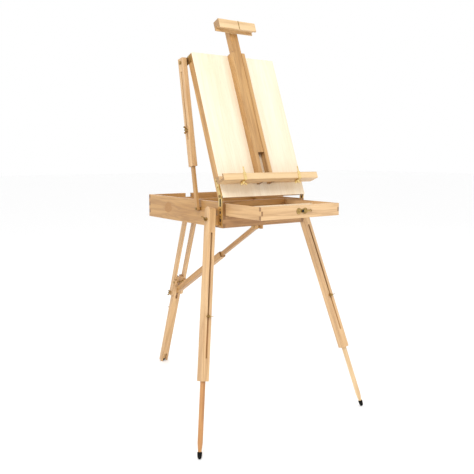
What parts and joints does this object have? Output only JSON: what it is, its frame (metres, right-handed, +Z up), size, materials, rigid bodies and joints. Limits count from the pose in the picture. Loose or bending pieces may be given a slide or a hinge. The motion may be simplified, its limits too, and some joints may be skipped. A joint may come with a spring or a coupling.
{
  "type": "french box easel",
  "caption": "Folding wooden sketch-box easel on telescopic legs, with a tilting lid, canvas ledge, sliding mast and drawer.",
  "frame": {"origin": "centre of the overall bounding box, on the floor under the feet", "axes": "+Z up, +Y towards the rear leg, +X to the painter's right"},
  "size_m": [0.776, 1.029, 1.5006],
  "materials": {
    "varnished_beech": "satin",
    "pale_ply": "satin",
    "aged_brass": "satin",
    "rubber_foot": "matte",
    "leather_strap": "satin"
  },
  "bodies": {
    "box": {"box_left_side": "varnished_beech", "box_right_side": "varnished_beech", "box_back_wall": "varnished_beech", "box_front_rail": "varnished_beech", "box_floor": "pale_ply", "box_partition": "varnished_beech", "drawer_runners": "varnished_beech", "lid_hinge_plates": "aged_brass", "box_fasteners": "aged_brass", "leg_blocks": "varnished_beech", "carry_handle": "leather_strap", "drawer_catch_keeper": "aged_brass"},
    "drawer": {"drawer_front": "varnished_beech", "drawer_left_side": "varnished_beech", "drawer_right_side": "varnished_beech", "drawer_back": "varnished_beech", "drawer_floor": "pale_ply", "drawer_divider": "varnished_beech", "drawer_catch_plate": "aged_brass"},
    "catch_hook": {"drawer_catch_hook": "aged_brass"},
    "lid": {"lid_panel": "pale_ply", "lid_left_rail": "varnished_beech", "lid_right_rail": "varnished_beech", "lid_top_rail": "varnished_beech", "lid_bottom_rail": "varnished_beech", "lid_hinge_straps": "aged_brass", "lid_screws": "aged_brass", "strut_ears": "aged_brass", "mast_guides": "varnished_beech", "canvas_ledge": "varnished_beech", "canvas_clip_screws": "aged_brass"},
    "clip_left": {"canvas_clip_left": "aged_brass"},
    "clip_right": {"canvas_clip_right": "aged_brass"},
    "mast": {"mast": "varnished_beech", "top_clamp_bar": "varnished_beech"},
    "clamp_screw": {"top_clamp_thumb_screw": "aged_brass"},
    "strut_rods": {"strut_rod_left": "varnished_beech", "strut_rod_right": "varnished_beech"},
    "strut_sleeves": {"strut_sleeve_left": "varnished_beech", "strut_sleeve_right": "varnished_beech"},
    "strut_screws": {"strut_wing_screws": "aged_brass"},
    "rear_rails": {"rear_rails": "varnished_beech", "rear_stop_bolt": "aged_brass"},
    "knee_bolt": {"rear_knee_wing_bolt": "aged_brass"},
    "rear_lower": {"rear_lower_leg": "varnished_beech"},
    "rear_rod": {"rear_foot_rod": "varnished_beech", "rear_foot": "rubber_foot"},
    "rear_screw": {"rear_slide_screw": "aged_brass"},
    "brace_upper": {"brace_upper_bar": "varnished_beech"},
    "brace_lower": {"brace_lower_bar": "varnished_beech"},
    "leg_left": {"front_left_leg": "varnished_beech"},
    "leg_left_rod": {"front_left_foot_rod": "varnished_beech", "front_left_foot": "rubber_foot"},
    "leg_left_screw": {"front_left_slide_screw": "aged_brass"},
    "leg_left_nut": {"front_left_pivot_wing_nut": "aged_brass"},
    "leg_right": {"front_right_leg": "varnished_beech"},
    "leg_right_rod": {"front_right_foot_rod": "varnished_beech", "front_right_foot": "rubber_foot"},
    "leg_right_screw": {"front_right_slide_screw": "aged_brass"},
    "leg_right_nut": {"front_right_pivot_wing_nut": "aged_brass"}
  },
  "joints": [
    {"name": "drawer_slide", "type": "slide", "parent": "box", "child": "drawer", "axis": [0, 1, 0], "range_m": [-0.035, 0.205]},
    {"name": "catch_turn", "type": "hinge", "parent": "drawer", "child": "catch_hook", "pos_m": [0, -0.51107, 0.808], "axis": [0, 1, 0], "range_deg": [0, 90]},
    {"name": "lid_tilt", "type": "hinge", "parent": "box", "child": "lid", "pos_m": [0, -0.28907, 0.853], "axis": [-1, 0, 0], "range_deg": [0, 20]},
    {"name": "clip_left_slide", "type": "slide", "parent": "lid", "child": "clip_left", "axis": [0, -0.9304, 0.3665], "range_m": [0, 0.0078]},
    {"name": "clip_right_slide", "type": "slide", "parent": "lid", "child": "clip_right", "axis": [0, -0.9304, 0.3665], "range_m": [0, 0.0078]},
    {"name": "mast_slide", "type": "slide", "parent": "lid", "child": "mast", "axis": [0, 0.3665, 0.9304], "range_m": [-0.115, 0.25]},
    {"name": "clamp_screw_turn", "type": "hinge", "parent": "mast", "child": "clamp_screw", "pos_m": [0, -0.09596, 1.49059], "axis": [0, 0.3665, 0.9304], "continuous": true},
    {"name": "strut_turn", "type": "hinge", "parent": "box", "child": "strut_rods", "pos_m": [0, -0.15407, 0.801], "axis": [-1, 0, 0], "range_deg": [0, 20]},
    {"name": "strut_slide", "type": "slide", "parent": "strut_rods", "child": "strut_sleeves", "axis": [0, -0.1764, -0.9843], "range_m": [0, 0.0503]},
    {"name": "strut_screw_turn", "type": "hinge", "parent": "strut_rods", "child": "strut_screws", "pos_m": [0, -0.10256, 1.08842], "axis": [1, 0, 0], "continuous": true},
    {"name": "leg_left_fold", "type": "hinge", "parent": "box", "child": "leg_left", "pos_m": [-0.217, -0.26507, 0.77], "axis": [0.9777, 0, -0.2101], "range_deg": [0, 100]},
    {"name": "leg_left_extend", "type": "slide", "parent": "leg_left", "child": "leg_left_rod", "axis": [-0.2046, -0.2283, -0.9519], "range_m": [-0.24, 0.135]},
    {"name": "leg_left_screw_turn", "type": "hinge", "parent": "leg_left_rod", "child": "leg_left_screw", "pos_m": [-0.28656, -0.34269, 0.44637], "axis": [0.048, -0.9736, 0.2232], "continuous": true},
    {"name": "leg_left_nut_turn", "type": "hinge", "parent": "box", "child": "leg_left_nut", "pos_m": [-0.217, -0.26507, 0.77], "axis": [-0.9777, 0, 0.2101], "continuous": true},
    {"name": "leg_right_fold", "type": "hinge", "parent": "box", "child": "leg_right", "pos_m": [0.217, -0.26507, 0.77], "axis": [0.9777, 0, 0.2101], "range_deg": [0, 100]},
    {"name": "leg_right_extend", "type": "slide", "parent": "leg_right", "child": "leg_right_rod", "axis": [0.2046, -0.2283, -0.9519], "range_m": [-0.24, 0.135]},
    {"name": "leg_right_screw_turn", "type": "hinge", "parent": "leg_right_rod", "child": "leg_right_screw", "pos_m": [0.28656, -0.34269, 0.44637], "axis": [-0.048, -0.9736, 0.2232], "continuous": true},
    {"name": "leg_right_nut_turn", "type": "hinge", "parent": "box", "child": "leg_right_nut", "pos_m": [0.217, -0.26507, 0.77], "axis": [0.9777, 0, 0.2101], "continuous": true},
    {"name": "rear_fold", "type": "hinge", "parent": "box", "child": "rear_rails", "pos_m": [0, 0.23743, 0.718], "axis": [-1, 0, 0], "range_deg": [0, 20]},
    {"name": "rear_knee_fold", "type": "hinge", "parent": "rear_rails", "child": "rear_lower", "pos_m": [0, 0.36824, 0.36794], "axis": [-1, 0, 0], "range_deg": [0, 90]},
    {"name": "knee_bolt_turn", "type": "hinge", "parent": "rear_rails", "child": "knee_bolt", "pos_m": [0, 0.36824, 0.36794], "axis": [-1, 0, 0], "continuous": true},
    {"name": "rear_extend", "type": "slide", "parent": "rear_lower", "child": "rear_rod", "axis": [0, 0.3501, -0.9367], "range_m": [0, 0.22]},
    {"name": "rear_screw_turn", "type": "hinge", "parent": "rear_rod", "child": "rear_screw", "pos_m": [0, 0.40196, 0.27774], "axis": [0, 0.9367, 0.3501], "continuous": true},
    {"name": "brace_turn", "type": "hinge", "parent": "box", "child": "brace_upper", "pos_m": [0, -0.25407, 0.734], "axis": [-1, 0, 0], "range_deg": [0, 8]},
    {"name": "brace_slide", "type": "slide", "parent": "brace_upper", "child": "brace_lower", "axis": [0, -0.8619, 0.507], "range_m": [0, 0.092]}
  ],
  "couplings": [
    {"joint": "strut_turn", "follows": "lid_tilt", "ratio": 0.99},
    {"joint": "strut_slide", "follows": "lid_tilt", "m_per_rad": 0.1437},
    {"joint": "brace_turn", "follows": "rear_fold", "ratio": 0.392},
    {"joint": "brace_slide", "follows": "rear_fold", "m_per_rad": 0.2624}
  ]
}
